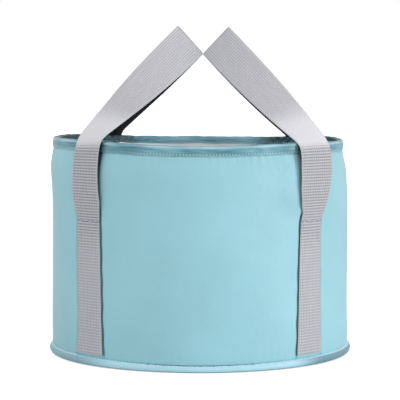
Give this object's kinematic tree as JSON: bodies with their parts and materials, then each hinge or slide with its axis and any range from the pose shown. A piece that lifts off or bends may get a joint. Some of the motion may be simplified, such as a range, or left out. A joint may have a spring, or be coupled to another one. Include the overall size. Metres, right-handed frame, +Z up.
{
  "type": "collapsible washbasin",
  "caption": "Round soft-sided washbasin with a foam-padded wall, bound rim, piped base and webbing handles, which folds flat for carrying water or soaking feet.",
  "frame": {"origin": "centre of the flat underside, on the floor", "axes": "+Z up through the middle of the bowl, +X towards the right handle, -Y towards the front in the picture"},
  "size_m": [0.305, 0.305, 0.3277],
  "materials": {
    "wall_fabric": "satin",
    "satin": "satin",
    "liner": "satin",
    "foam": "matte",
    "webbing": "matte",
    "thread": "satin"
  },
  "bodies": {
    "base": {"base_fabric": "wall_fabric", "base_foam": "foam", "liner_floor": "liner", "piping_cord": "foam", "piping_tape": "wall_fabric", "piping_topstitch": "thread", "outer_wall": "wall_fabric", "liner_wall": "liner", "outer_back_seam": "wall_fabric", "liner_back_seam": "liner", "wall_foam_1": "foam", "front_left_strap_leg": "webbing", "rear_left_strap_leg": "webbing", "front_right_strap_leg": "webbing", "rear_right_strap_leg": "webbing"},
    "lower_wall": {"wall_foam_2": "foam"},
    "upper_wall": {"wall_foam_3": "foam", "front_left_tack": "thread", "rear_left_tack": "thread", "front_right_tack": "thread", "rear_right_tack": "thread"},
    "rim": {"wall_foam_4": "foam", "rim_binding": "satin", "rim_stitch_outer": "thread", "rim_stitch_inner": "thread"},
    "left_handle": {"left_handle_loop": "webbing"},
    "right_handle": {"right_handle_loop": "webbing"}
  },
  "joints": [
    {"name": "collapse", "type": "slide", "parent": "base", "child": "rim", "axis": [0, 0, 1], "range_m": [-0.15, 0], "deforming": ["outer_wall", "liner_wall", "outer_back_seam", "liner_back_seam", "wall_foam_1", "wall_foam_2", "wall_foam_3", "wall_foam_4", "front_left_strap_leg", "rear_left_strap_leg", "front_right_strap_leg", "rear_right_strap_leg"]},
    {"name": "lower_wall_fold", "type": "slide", "parent": "base", "child": "lower_wall", "axis": [0, 0, 1], "range_m": [-0.05, 0]},
    {"name": "upper_wall_fold", "type": "slide", "parent": "base", "child": "upper_wall", "axis": [0, 0, 1], "range_m": [-0.1, 0]},
    {"name": "left_handle_swing", "type": "hinge", "parent": "upper_wall", "child": "left_handle", "pos_m": [-0.10684, 0, 0.14], "axis": [0, -1, 0], "range_deg": [0, 110]},
    {"name": "right_handle_swing", "type": "hinge", "parent": "upper_wall", "child": "right_handle", "pos_m": [0.10684, 0, 0.14], "axis": [0, 1, 0], "range_deg": [0, 110]}
  ],
  "couplings": [
    {"joint": "lower_wall_fold", "follows": "collapse", "ratio": 0.33333},
    {"joint": "upper_wall_fold", "follows": "collapse", "ratio": 0.66667}
  ]
}
